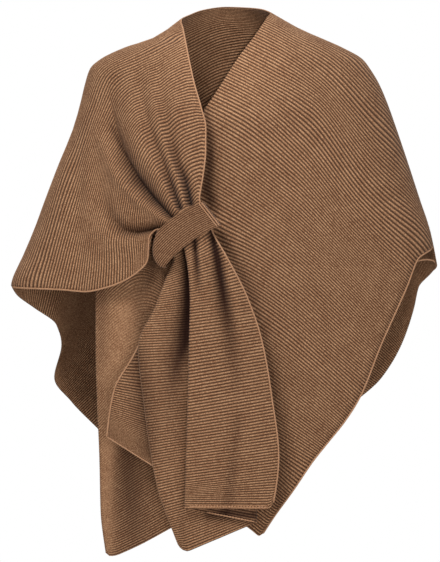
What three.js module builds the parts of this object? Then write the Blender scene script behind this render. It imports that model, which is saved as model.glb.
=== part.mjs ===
import * as THREE from "three";

// Knitted poncho sweater, filled out with no wearer. Millimetres: X to the wearer's left,
// Y to the back, Z up. The origin lies between the shoulder points, where it is held up.
const STEP = 1.56; // one step of the draft grid that the tables below are given in
const MIDDLE = 226; // grid column of the body's middle
const NAPE = 20; // grid line of the shoulder points
const WALL = 2.4; // thickness of the knitted cloth
const SEAM_GAP = 0.3; // gap between two panels at the overarm line
const ON_SEAM = 1e-6; // a point nearer to the overarm line than this, in mm, lies on it
const RIGHT_SIDE = 0; // angle of the overarm line on the side of positive X
const LEFT_SIDE = Math.PI; // angle of the overarm line on the side of negative X

// A general figure under the cloth, a row per level: grid line, grid columns of its two
// sides, and how far it reaches to the front and to the back of the overarm line in mm.
const FIGURE = [
  { down: 3, left: 200, right: 252, front: 26, back: 54 },
  { down: 13, left: 188, right: 270, front: 38, back: 66 },
  { down: 20, left: 181, right: 282, front: 45, back: 72 },
  { down: 30, left: 168, right: 300, front: 55, back: 79 },
  { down: 40, left: 151, right: 323, front: 64, back: 85 },
  { down: 48, left: 126, right: 341, front: 71, back: 90 },
  { down: 60, left: 101, right: 362, front: 80, back: 96 },
  { down: 69, left: 91, right: 369, front: 86, back: 99 },
  { down: 84, left: 86, right: 378, front: 95, back: 104 },
  { down: 105, left: 81, right: 387, front: 104, back: 109 },
  { down: 129, left: 74, right: 395.5, front: 112, back: 113 },
  { down: 166, left: 59, right: 408, front: 120, back: 116 },
  { down: 200, left: 46, right: 419, front: 125, back: 118 },
  { down: 230, left: 35, right: 429, front: 128, back: 119 },
  { down: 256, left: 24, right: 434.5, front: 129, back: 119 },
  { down: 286, left: 12, right: 439, front: 130, back: 119 },
  { down: 340, left: 10, right: 436, front: 130, back: 118 },
  { down: 430, left: 30, right: 420, front: 126, back: 114 },
  { down: 560, left: 52, right: 400, front: 118, back: 105 },
];

const PAST_SIDE = 999; // a column past the figure's side, where a point meets the overarm line

// The left front: a row per knitted course, [column, line] at set shares of its width.
// lift is how far it lies off the figure at its inner and at its outer edge.
const LEFT_FRONT_SHARES = [0, 0.12, 0.25, 0.5, 0.75, 1];
const LEFT_FRONT_TOP = { from: 13, to: 92 }; // lines of its shoulder seam, neck to arm
const LEFT_FRONT = [
  {
    inner: [266.5, 18.5], near: [280, 25], rise: [296, 34], mid: [332, 52], far: [367, 83],
    outer: [PAST_SIDE, 110], lift: [0, 0],
  },
  {
    inner: [262, 25.5], near: [275, 32], rise: [291, 41], mid: [328, 62], far: [368, 100],
    outer: [PAST_SIDE, 138], lift: [0, 0],
  },
  {
    inner: [255, 36], near: [269, 43], rise: [284, 51], mid: [320, 76], far: [366, 122],
    outer: [PAST_SIDE, 172], lift: [0, 0],
  },
  {
    inner: [238, 59], near: [254, 66], rise: [272, 75], mid: [314, 102], far: [368, 159],
    outer: [PAST_SIDE, 218], lift: [-2, 0],
  },
  {
    inner: [218, 90], near: [237, 98], rise: [257, 108], mid: [305, 142], far: [362, 203],
    outer: [417, 259], lift: [-7, 0],
  },
  {
    inner: [196, 122], near: [219, 131], rise: [243, 142], mid: [294, 175], far: [350, 234],
    outer: [404, 291], lift: [-13, 0],
  },
  {
    inner: [165, 174], near: [190, 185], rise: [217, 197], mid: [270, 228], far: [328, 279],
    outer: [381, 342], lift: [-13, 0],
  },
  {
    inner: [130, 231], near: [155, 243], rise: [185, 258], mid: [245, 287], far: [305, 330],
    outer: [359, 396], lift: [-13, 0],
  },
  {
    inner: [94, 290], near: [113, 272], rise: [138, 262], mid: [210, 308], far: [282, 352],
    outer: [344, 420], lift: [-13, 0],
  },
  {
    inner: [94, 345], near: [115, 323], rise: [145, 308], mid: [213, 352], far: [276, 390],
    outer: [328, 440], lift: [-13, 0],
  },
  {
    inner: [95, 400], near: [120, 376], rise: [158, 360], mid: [220, 398], far: [270, 427],
    outer: [312, 460], lift: [-13, 0],
  },
  {
    inner: [97, 455], near: [128, 428], rise: [172, 408], mid: [225, 437], far: [265, 460],
    outer: [293, 488], lift: [-13, 0],
  },
  {
    inner: [98, 510], near: [135, 488], rise: [190, 461], mid: [228, 480], far: [257, 498],
    outer: [275, 513], lift: [-13, 0],
  },
  {
    inner: [104, 559], near: [140, 543], rise: [205, 510], mid: [228, 516], far: [246, 525],
    outer: [260, 536], lift: [-13, 0],
  },
];

// The right front down to the loop, in the same way; its last rows lie inside the loop.
const RIGHT_FRONT_SHARES = [0, 0.2, 0.4, 0.6, 0.8, 1];
const RIGHT_FRONT_TOP = { from: 20, to: 286 };
const RIGHT_FRONT = [
  {
    inner: [182.5, 29], near: [139, 50], rise: [94, 82], mid: [69, 151], far: [46, 219],
    outer: [23, 287.5], lift: [0, 0],
  },
  {
    inner: [185, 42], near: [147, 57], rise: [104, 80], mid: [80, 145], far: [57, 215],
    outer: [38, 288], lift: [0, 0],
  },
  {
    inner: [189, 62], near: [155, 74], rise: [116, 97], mid: [95, 155], far: [78, 218],
    outer: [62, 289], lift: [1, 1],
  },
  {
    inner: [194, 84], near: [163, 95], rise: [129, 117], mid: [110, 165], far: [97, 219],
    outer: [86, 291], lift: [4, 3],
  },
  {
    inner: [201, 108], near: [174, 117], rise: [145, 136], mid: [127, 174], far: [116, 218],
    outer: [107, 287], lift: [8, 6],
  },
  {
    inner: [206, 130], near: [184, 139], rise: [160, 154], mid: [144, 183], far: [134, 216],
    outer: [126, 280], lift: [13, 10],
  },
  {
    inner: [206, 152], near: [190, 158], rise: [170, 170], mid: [156, 192], far: [147, 216],
    outer: [140, 271], lift: [18, 14],
  },
  {
    inner: [204, 174], near: [191, 179], rise: [177, 188], mid: [165, 202], far: [156, 219],
    outer: [150, 259], lift: [23, 18],
  },
  {
    inner: [202, 187], near: [192, 192], rise: [181, 199], mid: [171, 209], far: [161, 221],
    outer: [152.5, 237], lift: [26, 22],
  },
  {
    inner: [200.5, 199.5], near: [193, 205], rise: [185, 210.5], mid: [177, 216],
    far: [168.5, 222.5], outer: [160, 229.5], lift: [28, 27],
  },
  {
    inner: [204.5, 211.5], near: [196.8, 217.2], rise: [189.1, 222.9], mid: [181.4, 228.6],
    far: [173.7, 234.3], outer: [166, 240], lift: [29, 28],
  },
];

// The folds drawn into the loop, a row per valley: share of the width where it ends in the
// loop, share and course where it begins, its depth on the way and in the loop in mm, and
// its half width there as a share.
const GATHERS = [
  { loop: 0.21, start: 0.26, course: 0.42, depth: 9, deepest: 8, wide: 0.05, half: 0.07 },
  { loop: 0.41, start: 0.47, course: 0.28, depth: 11, deepest: 9, wide: 0.05, half: 0.07 },
  { loop: 0.61, start: 0.46, course: 0.12, depth: 15, deepest: 9, wide: 0.05, half: 0.07 },
  { loop: 0.82, start: 0.58, course: 0.18, depth: 13, deepest: 9, wide: 0.06, half: 0.075 },
];
const GATHER_PUFF = 4; // how far the cloth swells between the valleys, in mm
const GATHER_FROM = 0.3; // course where the swell begins
const GATHER_OVER = 0.6; // share of the length over which it grows
const VALLEY_GROWTH = 1.9; // a valley is at its full depth after 1 / this of its length

// The right front below the loop: a row per course, [column, line] of its right edge, of
// each fold of its layers in turn, and of the flap's free edge at the back.
const TAIL = [
  {
    right: [204.7, 211.9], foldA: [184.2, 227.4], foldB: [196, 218.4], left: [163, 242.8],
    foldC: [170, 237.7], flap: [163, 242.8],
  },
  {
    right: [212, 231], foldA: [187, 250], foldB: [204, 239], left: [176, 258],
    foldC: [184, 252], flap: [175, 259],
  },
  {
    right: [226, 257], foldA: [190, 268], foldB: [214, 262], left: [168, 279],
    foldC: [179, 277], flap: [168, 281],
  },
  {
    right: [246, 298], foldA: [192, 301], foldB: [230, 302], left: [157, 309],
    foldC: [171, 310], flap: [156, 312],
  },
  {
    right: [260, 342], foldA: [191, 343], foldB: [245, 346], left: [142, 348],
    foldC: [160, 350], flap: [138, 352],
  },
  {
    right: [269, 396], foldA: [190, 397], foldB: [250, 403], left: [149, 413],
    foldC: [165, 400], flap: [118, 389],
  },
  {
    right: [275.5, 455], foldA: [188.5, 453], foldB: [254, 463], left: [160, 481],
    foldC: [169, 440], flap: [113, 417],
  },
  {
    right: [270, 508], foldA: [187, 507], foldB: [255, 521], left: [184, 552],
    foldC: [171, 475], flap: [111, 436],
  },
];
const TAIL_LAYERS = [
  { from: "right", to: "foldA", columns: 10 },
  { from: "foldA", to: "foldB", columns: 2 },
  { from: "foldB", to: "left", columns: 5 },
  { from: "left", to: "foldC", columns: 1 },
  { from: "foldC", to: "flap", columns: 3 },
];
const TAIL_FRONT_LIFT = 30.6; // how far the foremost layer lies off the figure, in mm
const FOLD_RADIUS = 3; // of the turn from one layer into the next
const FOLD_TURNS = 4; // facets of that turn
// Soft folds in the foremost layer of the tail: share of its width at the loop and at the
// hem, from where and over what share of its length they fade, their rise in mm, half width.
const TAIL_FOLD_START = 0.15; // share of the tail's length where they begin
const TAIL_FOLD_OVER = 0.125; // and over which they grow
const TAIL_FOLDS = [
  { loop: 0.22, hem: 0.3, from: 0.15, over: 0.8, rise: 7, half: 0.15 },
  { loop: 0.66, hem: 0.72, from: 0.15, over: 0.95, rise: 8, half: 0.16 },
];

// The back: a row per course from the one overarm line to the other.
const BACK_SHARES = [0, 0.18, 0.36, 0.5, 0.64, 0.82, 1];
const BACK_NECK = { from: 0.36, to: 0.64 };
const BACK_NECK_EDGE = [
  [181, 20], [190, 15], [203, 10], [226, 6.6], [251, 8], [263, 10], [270, 13],
];
const BACK_LEFT_TOP = { from: 286, to: 20 }; // lines of its overarm seams, from the right
const BACK_RIGHT_TOP = { from: 13, to: 247 }; // arm to the neck and from there to the left
const BACK = [
  {
    edge: [19, 297], outerA: [80, 118], neckA: [172, 36], mid: [226, 21], neckB: [278, 31],
    outerB: [384, 125], far: [436, 263],
  },
  {
    edge: [34, 308], outerA: [90, 150], neckA: [165, 62], mid: [226, 46], neckB: [287, 58],
    outerB: [376, 140], far: [432, 272],
  },
  {
    edge: [56, 325], outerA: [100, 195], neckA: [165, 105], mid: [226, 85], neckB: [290, 100],
    outerB: [368, 175], far: [419, 287],
  },
  {
    edge: [61, 345], outerA: [110, 245], neckA: [165, 165], mid: [226, 145], neckB: [290, 160],
    outerB: [358, 225], far: [414, 309],
  },
  {
    edge: [54, 378], outerA: [115, 300], neckA: [170, 232], mid: [226, 212], neckB: [285, 228],
    outerB: [345, 283], far: [403, 342],
  },
  {
    edge: [71, 402], outerA: [125, 350], neckA: [175, 300], mid: [226, 283], neckB: [280, 298],
    outerB: [330, 338], far: [382, 378],
  },
  {
    edge: [103, 435], outerA: [140, 400], neckA: [180, 372], mid: [226, 360],
    neckB: [272, 370], outerB: [310, 395], far: [345, 412],
  },
  {
    edge: [150, 486], outerA: [170, 470], neckA: [195, 456], mid: [226, 450],
    neckB: [255, 455], outerB: [275, 464], far: [292, 474],
  },
];

// The loop band, a flat ring round the gathers. Sizes in grid steps but for its lifts.
const LOOP = {
  middle: [186, 231.5],
  rise: 0.64, // slope angle of its length, in radians
  bow: 3.8, // how far its ends bend down from its middle
  end: 31.5, // from its middle to its sewn end
  // How far from its middle it turns round behind, at shares of its width from the top edge.
  turnShares: [0, 0.15, 0.3, 0.5, 0.7, 0.85, 1],
  turns: [21, 29.5, 35, 39, 40, 39.5, 36.5],
  halfWidth: 14.3,
  backLift: -2, // of its back and front stretch off the figure, in mm
  frontLift: 35.5,
  squareness: 0.38,
  facets: 34,
  ribs: 8,
  ribHeight: 0.9,
};

// A smooth curve through values at rising knots that never swings past them.
function smooth(knots, values, at) {
  let i = 0;
  while (i < knots.length - 2 && at > knots[i + 1]) i++;
  const rise = (k) => (values[k + 1] - values[k]) / (knots[k + 1] - knots[k]);
  const slope = (k) => {
    if (k === 0) return rise(0);
    if (k === knots.length - 1) return rise(k - 1);
    const before = rise(k - 1);
    const after = rise(k);
    return before * after > 0 ? (2 * before * after) / (before + after) : 0;
  };
  const span = knots[i + 1] - knots[i];
  const t = (at - knots[i]) / span;
  const t2 = t * t;
  const t3 = t2 * t;
  return (
    (2 * t3 - 3 * t2 + 1) * values[i] +
    (t3 - 2 * t2 + t) * span * slope(i) +
    (3 * t2 - 2 * t3) * values[i + 1] +
    (t3 - t2) * span * slope(i + 1)
  );
}

const mix = (a, b, t) => a + (b - a) * t;
const clamp = (value, low, high) => Math.min(high, Math.max(low, value));
const ease = (t) => {
  const c = clamp(t, 0, 1);
  return c * c * (3 - 2 * c);
};

const FIGURE_LINES = FIGURE.map((row) => row.down);
const figureValue = (name, down) => smooth(FIGURE_LINES, FIGURE.map((row) => row[name]), down);

function figureAt(down) {
  const left = figureValue("left", down);
  const right = figureValue("right", down);
  return {
    mid: (left + right) / 2,
    half: (right - left) / 2,
    front: figureValue("front", down),
    back: figureValue("back", down),
  };
}

// Angle round the figure of a grid point: 0 and PI at its sides, PI / 2 in front.
function angleOf([across, down], behind = false) {
  const { mid, half } = figureAt(down);
  const angle = Math.acos(clamp((across - mid) / half, -1, 1));
  return behind ? 2 * Math.PI - angle : angle;
}

// The point of the figure at an angle and grid line, lifted off it by so many mm.
function onFigure([angle, down, lift]) {
  const { mid, half, front, back } = figureAt(down);
  const c = Math.cos(angle);
  const s = Math.sin(angle);
  const depth = s > 0 ? front : back;
  const normal = new THREE.Vector3(c / (half * STEP), -s / depth, 0).normalize();
  return new THREE.Vector3(
    (mid + half * c - MIDDLE) * STEP,
    -depth * s,
    (NAPE - down) * STEP,
  ).addScaledVector(normal, lift);
}

const gridPoint = (across, down, lift) => onFigure([angleOf([across, down]), down, lift]);

const OVERARM_PIECES = 60; // straight pieces an overarm line is measured in

// Grid lines at even distances along an overarm line between two grid lines.
function overarmLine(side, from, to, share) {
  const pieces = OVERARM_PIECES;
  const lengths = [0];
  let before = null;
  for (let i = 0; i <= pieces; i++) {
    const point = onFigure([side, mix(from, to, i / pieces), 0]);
    if (before) lengths.push(lengths[i - 1] + point.distanceTo(before));
    before = point;
  }
  const wanted = share * lengths[pieces];
  let i = 1;
  while (i < pieces && lengths[i] < wanted) i++;
  const t = (wanted - lengths[i - 1]) / (lengths[i] - lengths[i - 1]);
  return mix(from, to, (i - 1 + t) / pieces);
}

// The column of the figure at an angle and grid line.
function columnAt(angle, down) {
  const { mid, half } = figureAt(down);
  return mid + half * Math.cos(angle);
}

// A course of a panel as a function of the share of its width: angle, grid line, lift and
// column.
function courseOf(shares, row, behind) {
  const { lift = [0, 0], ...stations } = row;
  const points = Object.values(stations);
  const angles = points.map((point) => angleOf(point, behind));
  const downs = points.map((point) => point[1]);
  const columns = points.map((point, k) => columnAt(angles[k], downs[k]));
  return (u) => [
    smooth(shares, angles, u),
    smooth(shares, downs, u),
    mix(lift[0], lift[1], u),
    smooth(shares, columns, u),
  ];
}

// Near its sides a panel follows the figure by angle, and elsewhere by its columns.
const BY_ANGLE = 0.3; // sine of the angle up to which the angle alone counts
const BY_COLUMN = 0.7; // and from which the column alone counts

function settled([angle, down, lift, column]) {
  const sine = Math.abs(Math.sin(angle));
  const share = ease((sine - BY_ANGLE) / (BY_COLUMN - BY_ANGLE));
  const behind = Math.sin(angle) < 0;
  return [mix(angle, angleOf([column, down], behind), share), down, lift];
}

const MEASURED_AT = [0.1, 0.35, 0.6, 0.85]; // where the steps between courses are measured

// A panel as a function of u, the share of its width, and v, the share of its length. Its
// first course lies on an overarm line, where it goes on smoothly as its own mirror image.
function panelOf(first, courses, mirrored) {
  const all = [first, ...courses];
  const knots = [0];
  for (let k = 1; k < all.length; k++) {
    const steps = MEASURED_AT.map((u) => onFigure(all[k](u)).distanceTo(onFigure(all[k - 1](u))));
    knots.push(knots[k - 1] + steps.reduce((sum, step) => sum + step, 0) / steps.length);
  }
  const total = knots[knots.length - 1];
  const lines = [-knots[1], ...knots].map((knot) => knot / total);
  return (u, v) => {
    const values = all.map((course) => course(u));
    const second = values[1];
    const ghost = mirrored(u)
      ? [2 * values[0][0] - second[0], ...second.slice(1)]
      : values[0].map((value, k) => 2 * value - second[k]);
    const ordered = [ghost, ...values];
    return settled([0, 1, 2, 3].map((k) => smooth(lines, ordered.map((value) => value[k]), v)));
  };
}

// The course that lies on an overarm line, between two of its grid lines.
function overarmCourse(side, { from, to }, share) {
  const down = overarmLine(side, from, to, share);
  return [side, down, 0, columnAt(side, down)];
}

const leftFront = panelOf(
  (u) => overarmCourse(RIGHT_SIDE, LEFT_FRONT_TOP, u),
  LEFT_FRONT.map((row) => courseOf(LEFT_FRONT_SHARES, row, false)),
  () => true,
);

const rightFront = panelOf(
  (u) => overarmCourse(LEFT_SIDE, RIGHT_FRONT_TOP, u),
  RIGHT_FRONT.map((row) => courseOf(RIGHT_FRONT_SHARES, row, false)),
  () => true,
);

// The valleys of the gathers and the swell between them, deepest at the loop.
function gatherLift(u, v) {
  const near = ease((v - GATHER_FROM) / GATHER_OVER);
  let lift = GATHER_PUFF * near * Math.sin(Math.PI * clamp(u, 0, 1));
  for (const fold of GATHERS) {
    const along = clamp((v - fold.course) / (1 - fold.course), 0, 1);
    const centre = mix(fold.start, fold.loop, along);
    const away = (u - centre) / mix(fold.wide, fold.half, along);
    const depth = mix(fold.depth, fold.deepest, along) * ease(along * VALLEY_GROWTH);
    lift -= depth * Math.exp(-away * away);
  }
  return lift;
}

function backCourse(u) {
  if (u <= BACK_NECK.from) {
    return overarmCourse(LEFT_SIDE, BACK_LEFT_TOP, u / BACK_NECK.from);
  }
  if (u >= BACK_NECK.to) {
    const share = (u - BACK_NECK.to) / (1 - BACK_NECK.to);
    const course = overarmCourse(RIGHT_SIDE, BACK_RIGHT_TOP, share);
    return [2 * Math.PI, ...course.slice(1)];
  }
  const share = (u - BACK_NECK.from) / (BACK_NECK.to - BACK_NECK.from);
  const knots = BACK_NECK_EDGE.map((point, k) => k / (BACK_NECK_EDGE.length - 1));
  const angles = BACK_NECK_EDGE.map((point) => angleOf(point, true));
  const angle = smooth(knots, angles, share);
  const down = smooth(knots, BACK_NECK_EDGE.map((point) => point[1]), share);
  return [angle, down, 0, columnAt(angle, down)];
}

const back = panelOf(
  backCourse,
  BACK.map((row) => courseOf(BACK_SHARES, row, true)),
  (u) => u < BACK_NECK.from || u > BACK_NECK.to,
);

// One wall through a grid of its middle points: rows of points, outer side first. A point
// on the overarm line stands square to it, half a seam gap to the panel's own side.
function wall(name, rows, color, { closed = false, seam = 0, outer = () => 0 } = {}) {
  const count = rows[0].length;
  const normals = rows.map((row) => row.map(() => new THREE.Vector3()));
  const columns = closed ? count : count - 1;
  const at = (grid, i, j) => grid[i][j % count];
  for (let i = 0; i < rows.length - 1; i++) {
    for (let j = 0; j < columns; j++) {
      const a = at(rows, i, j);
      const b = at(rows, i, j + 1);
      const c = at(rows, i + 1, j + 1);
      const d = at(rows, i + 1, j);
      const across = new THREE.Vector3().subVectors(c, a);
      const along = new THREE.Vector3().subVectors(d, b);
      const face = new THREE.Vector3().crossVectors(across, along);
      for (const [k, l] of [[i, j], [i, j + 1], [i + 1, j + 1], [i + 1, j]]) {
        at(normals, k, l).add(face);
      }
    }
  }
  const positions = [];
  rows.forEach((row, i) =>
    row.forEach((point, j) => {
      const normal = normals[i][j].clone();
      const middle = point.clone();
      if (seam && Math.abs(point.y) < ON_SEAM) {
        normal.y = 0;
        middle.y = seam;
      }
      normal.normalize();
      const front = middle.clone().addScaledVector(normal, WALL / 2 + outer(i, j));
      const rear = middle.clone().addScaledVector(normal, -WALL / 2);
      positions.push(front.x, front.y, front.z, rear.x, rear.y, rear.z);
    }),
  );
  const index = [];
  const front = (i, j) => 2 * (i * count + (j % count));
  const rear = (i, j) => front(i, j) + 1;
  const quad = (a, b, c, d) => index.push(a, b, c, a, c, d);
  for (let i = 0; i < rows.length - 1; i++) {
    for (let j = 0; j < columns; j++) {
      quad(front(i, j), front(i + 1, j), front(i + 1, j + 1), front(i, j + 1));
      quad(rear(i, j), rear(i, j + 1), rear(i + 1, j + 1), rear(i + 1, j));
    }
  }
  const last = rows.length - 1;
  for (let j = 0; j < columns; j++) {
    quad(front(0, j), front(0, j + 1), rear(0, j + 1), rear(0, j));
    quad(front(last, j), rear(last, j), rear(last, j + 1), front(last, j + 1));
  }
  if (!closed) {
    for (let i = 0; i < last; i++) {
      quad(front(i, 0), rear(i, 0), rear(i + 1, 0), front(i + 1, 0));
      quad(front(i, columns), front(i + 1, columns), rear(i + 1, columns), rear(i, columns));
    }
  }
  const geometry = new THREE.BufferGeometry();
  geometry.setAttribute("position", new THREE.Float32BufferAttribute(positions, 3));
  geometry.setIndex(index);
  if (signedVolume(positions, index) < 0) {
    for (let i = 0; i < index.length; i += 3) {
      [index[i + 1], index[i + 2]] = [index[i + 2], index[i + 1]];
    }
    geometry.setIndex(index);
  }
  geometry.computeVertexNormals();
  const mesh = new THREE.Mesh(geometry, new THREE.MeshStandardMaterial({ color, roughness: 0.9 }));
  mesh.name = name;
  return mesh;
}

function signedVolume(positions, index) {
  const corner = (k) => new THREE.Vector3().fromArray(positions, 3 * index[k]);
  let sum = 0;
  for (let i = 0; i < index.length; i += 3) {
    sum += corner(i).dot(corner(i + 1).cross(corner(i + 2)));
  }
  return sum;
}

const shares = (count, bend = (t) => t) =>
  Array.from({ length: count + 1 }, (_, i) => bend(i / count));

// Rows of middle points of a panel, moved off its base by a lift of its own.
function panelRows(panel, us, vs, side, extra = () => 0) {
  return vs.map((v) =>
    us.map((u) => {
      const [angle, down, lift] = panel(u, v);
      const within = clamp(angle, side, side + Math.PI);
      return onFigure([within, down, lift + extra(u, v)]);
    }),
  );
}

// One layered course of the tail: its layers follow one another through round turns.
function tailCourse(v) {
  const knots = TAIL.map((row, k) => k / (TAIL.length - 1));
  const corner = (name) =>
    [0, 1].map((k) => smooth(knots, TAIL.map((row) => row[name][k]), v));
  const points = [];
  TAIL_LAYERS.forEach((layer, number) => {
    const from = corner(layer.from);
    const to = corner(layer.to);
    const length = Math.hypot(to[0] - from[0], to[1] - from[1]);
    const step = FOLD_RADIUS / STEP / length;
    const lift = TAIL_FRONT_LIFT - 2 * FOLD_RADIUS * number;
    const last = number === TAIL_LAYERS.length - 1;
    const start = number === 0 ? 0 : step;
    const end = last ? 1 : 1 - step;
    const place = (t, raised) =>
      points.push(gridPoint(mix(from[0], to[0], t), mix(from[1], to[1], t), raised));
    for (let k = 0; k <= layer.columns; k++) {
      const t = mix(start, end, k / layer.columns);
      const fold = number === 0 ? tailFoldLift(t, v) : 0;
      place(t, lift + fold);
    }
    if (last) return;
    for (let k = 1; k < FOLD_TURNS; k++) {
      const turn = (Math.PI * k) / FOLD_TURNS;
      place(1 - step + step * Math.sin(turn), lift - FOLD_RADIUS * (1 - Math.cos(turn)));
    }
  });
  return points;
}

function tailFoldLift(t, v) {
  let lift = 0;
  for (const fold of TAIL_FOLDS) {
    const away = (t - mix(fold.loop, fold.hem, v)) / fold.half;
    const grown = ease((v - TAIL_FOLD_START) / TAIL_FOLD_OVER);
    const strength = grown * (1 - ease((v - fold.from) / fold.over));
    lift += fold.rise * strength * Math.exp(-away * away);
  }
  return lift;
}

// The loop band: rows run across its width, points round its length.
function loopRows() {
  const rows = [];
  const edges = 2 * LOOP.ribs;
  const c = Math.cos(LOOP.rise);
  const s = Math.sin(LOOP.rise);
  for (let i = 0; i <= edges; i++) {
    const width = mix(-LOOP.halfWidth, LOOP.halfWidth, i / edges);
    const turnAt = -smooth(LOOP.turnShares, LOOP.turns, i / edges);
    const centre = (LOOP.end + turnAt) / 2;
    const halfLength = (LOOP.end - turnAt) / 2;
    const row = [];
    for (let j = 0; j < LOOP.facets; j++) {
      const turn = (2 * Math.PI * j) / LOOP.facets;
      const power = (value) => Math.sign(value) * Math.abs(value) ** LOOP.squareness;
      const length = centre + halfLength * power(Math.cos(turn));
      const half = (LOOP.frontLift - LOOP.backLift) / 2;
      const lift = LOOP.backLift + half + half * power(Math.sin(turn));
      const bent = width + LOOP.bow * ((length / LOOP.end) ** 2 - 0.5);
      const across = LOOP.middle[0] + length * c + bent * s;
      const down = LOOP.middle[1] - length * s + bent * c;
      row.push(gridPoint(across, down, lift));
    }
    rows.push(row);
  }
  return rows;
}

// Columns and rows of the panels' grids.
const SHOULDER_COLUMNS = 9;
const NECK_COLUMNS = 10;
const BACK_ROWS = 20;
const BACK_CROWDING = 1.15; // draws the back's rows together at its top
const LEFT_FRONT_GRID = { columns: 20, rows: 38 };
const RIGHT_FRONT_GRID = { columns: 40, rows: 27 };
const TAIL_ROWS = 22;

const BACK_COLUMNS = [
  ...shares(SHOULDER_COLUMNS).map((t) => t * BACK_NECK.from),
  ...shares(NECK_COLUMNS).slice(1, -1).map((t) => mix(BACK_NECK.from, BACK_NECK.to, t)),
  ...shares(SHOULDER_COLUMNS).map((t) => mix(BACK_NECK.to, 1, t)),
];
const backRows = shares(BACK_ROWS, (t) => t ** BACK_CROWDING);
const leftUs = shares(LEFT_FRONT_GRID.columns);
const leftVs = shares(LEFT_FRONT_GRID.rows);
const rightUs = shares(RIGHT_FRONT_GRID.columns);
const rightVs = shares(RIGHT_FRONT_GRID.rows);

const BROWN = 0x93704f;
const LIGHT_BROWN = 0xa8825f;

const part = new THREE.Group();
part.name = "knitted_poncho_sweater";
part.add(
  wall("back", panelRows(back, BACK_COLUMNS, backRows, LEFT_SIDE), BROWN, {
    seam: SEAM_GAP / 2,
  }),
  wall("left_front", panelRows(leftFront, leftUs, leftVs, RIGHT_SIDE), BROWN, {
    seam: -SEAM_GAP / 2,
  }),
  wall("right_front", panelRows(rightFront, rightUs, rightVs, RIGHT_SIDE, gatherLift), BROWN, {
    seam: -SEAM_GAP / 2,
  }),
  wall("right_front_tail", shares(TAIL_ROWS).map(tailCourse), BROWN),
  wall("front_loop", loopRows(), LIGHT_BROWN, {
    closed: true,
    outer: (i) => (i % 2 ? LOOP.ribHeight : 0),
  }),
);

export default part;
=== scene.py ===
# Knitted poncho sweater, dressed over its solids, in metres: X to the wearer's left,
# Y to the back, Z up, with the origin between the shoulder points.
import math

import bpy
import numpy as np
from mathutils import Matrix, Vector


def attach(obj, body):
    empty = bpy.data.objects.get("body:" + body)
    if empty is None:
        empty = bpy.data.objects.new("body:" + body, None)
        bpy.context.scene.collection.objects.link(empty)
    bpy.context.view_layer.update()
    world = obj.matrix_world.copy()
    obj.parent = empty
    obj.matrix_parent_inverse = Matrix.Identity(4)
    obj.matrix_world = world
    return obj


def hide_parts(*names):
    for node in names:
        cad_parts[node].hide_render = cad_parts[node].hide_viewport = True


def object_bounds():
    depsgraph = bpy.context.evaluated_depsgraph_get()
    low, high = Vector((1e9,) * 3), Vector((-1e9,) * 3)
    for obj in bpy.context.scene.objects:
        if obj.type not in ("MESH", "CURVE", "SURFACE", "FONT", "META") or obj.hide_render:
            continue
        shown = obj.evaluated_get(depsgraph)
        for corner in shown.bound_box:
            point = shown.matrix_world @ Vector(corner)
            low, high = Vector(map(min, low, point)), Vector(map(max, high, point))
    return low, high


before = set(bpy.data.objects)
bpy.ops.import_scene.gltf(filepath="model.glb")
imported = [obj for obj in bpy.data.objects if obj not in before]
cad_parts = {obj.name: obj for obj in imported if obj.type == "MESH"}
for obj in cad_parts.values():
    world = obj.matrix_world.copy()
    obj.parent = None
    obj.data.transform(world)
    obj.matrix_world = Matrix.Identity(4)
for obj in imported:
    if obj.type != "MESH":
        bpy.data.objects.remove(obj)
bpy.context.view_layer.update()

# Draft grid: the tables below are given in its columns and lines
STEP = 0.00156
MIDDLE = 226
NAPE = 20
MM = 0.001
RIGHT_SIDE = 0.0
LEFT_SIDE = math.pi
PAST_SIDE = 999
SEAM_GAP = 0.3 * MM

# Camera: far off with a long lens, square to the front
CAMERA_AWAY = 20.0
PICTURE = (440, 562)
CAMERA_MIDDLE = ((220 - MIDDLE) * STEP, (NAPE - 281) * STEP)
SENSOR = 36.0


def make_camera():
    camera = bpy.data.objects.new("camera", bpy.data.cameras.new("camera"))
    camera.location = (CAMERA_MIDDLE[0], -CAMERA_AWAY, CAMERA_MIDDLE[1])
    camera.rotation_euler = (math.pi / 2, 0, 0)
    camera.data.sensor_width = SENSOR
    camera.data.lens = SENSOR * CAMERA_AWAY / (PICTURE[1] * STEP)
    camera.data.clip_end = 100
    bpy.context.collection.objects.link(camera)
    bpy.context.scene.camera = camera


make_camera()

# A general figure under the cloth: grid line, columns of its two sides, and how far it
# reaches to the front and to the back of the overarm line in mm
FIGURE = np.array([
    (3, 200, 252, 26, 54),
    (13, 188, 270, 38, 66),
    (20, 181, 282, 45, 72),
    (30, 168, 300, 55, 79),
    (40, 151, 323, 64, 85),
    (48, 126, 341, 71, 90),
    (60, 101, 362, 80, 96),
    (69, 91, 369, 86, 99),
    (84, 86, 378, 95, 104),
    (105, 81, 387, 104, 109),
    (129, 74, 395.5, 112, 113),
    (166, 59, 408, 120, 116),
    (200, 46, 419, 125, 118),
    (230, 35, 429, 128, 119),
    (256, 24, 434.5, 129, 119),
    (286, 12, 439, 130, 119),
    (340, 10, 436, 130, 118),
    (430, 30, 420, 126, 114),
    (560, 52, 400, 118, 105),
])

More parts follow.
